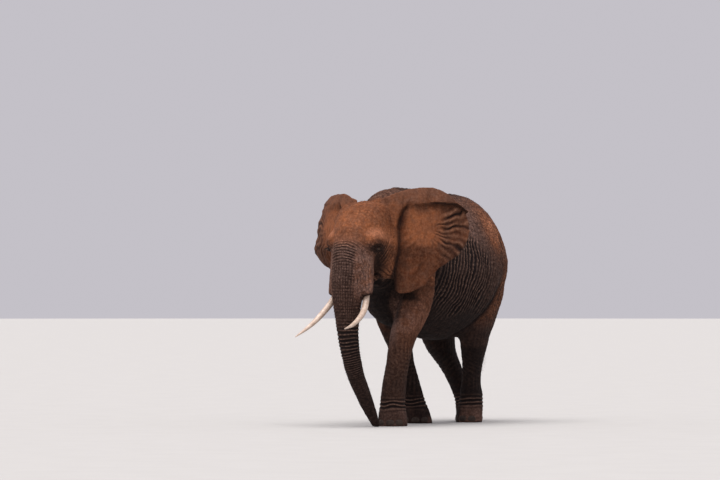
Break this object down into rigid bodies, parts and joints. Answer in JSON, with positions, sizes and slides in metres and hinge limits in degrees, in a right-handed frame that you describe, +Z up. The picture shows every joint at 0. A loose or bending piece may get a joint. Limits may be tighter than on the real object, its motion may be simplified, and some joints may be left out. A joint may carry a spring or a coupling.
{
  "type": "elephant",
  "caption": "Life-size adult African elephant cow walking with both left legs ahead, ears half spread, trunk hanging to the floor and slender tusks; a still museum model.",
  "frame": {"origin": "middle of the overall box, at floor level under the soles", "axes": "+Z up, the elephant faces -Y, its own left side is +X"},
  "size_m": [1.9302, 3.7966, 2.6102],
  "materials": {
    "skin": "dry wrinkled hide, grey-brown with red-brown dust",
    "ivory": "smooth cream ivory, faintly stained at the root",
    "eyeball": "wet dark amber-brown",
    "horn": "dull toenail horn"
  },
  "bodies": {
    "root": {"ear_left": "skin", "ear_right": "skin", "eye_left": "eyeball", "eye_right": "eyeball", "head": "skin", "leg_front_left": "skin", "leg_front_right": "skin", "leg_hind_left": "skin", "leg_hind_right": "skin", "lower_jaw": "skin", "nail_front_left_1": "horn", "nail_front_left_2": "horn", "nail_front_left_3": "horn", "nail_front_left_4": "horn", "nail_front_right_1": "horn", "nail_front_right_2": "horn", "nail_front_right_3": "horn", "nail_front_right_4": "horn", "nail_hind_left_1": "horn", "nail_hind_left_2": "horn", "nail_hind_left_3": "horn", "nail_hind_right_1": "horn", "nail_hind_right_2": "horn", "nail_hind_right_3": "horn", "neck": "skin", "tail": "skin", "torso": "skin", "trunk_1": "skin", "trunk_2": "skin", "trunk_3": "skin", "trunk_4": "skin", "tusk_left": "ivory", "tusk_right": "ivory"}
  },
  "joints": []
}
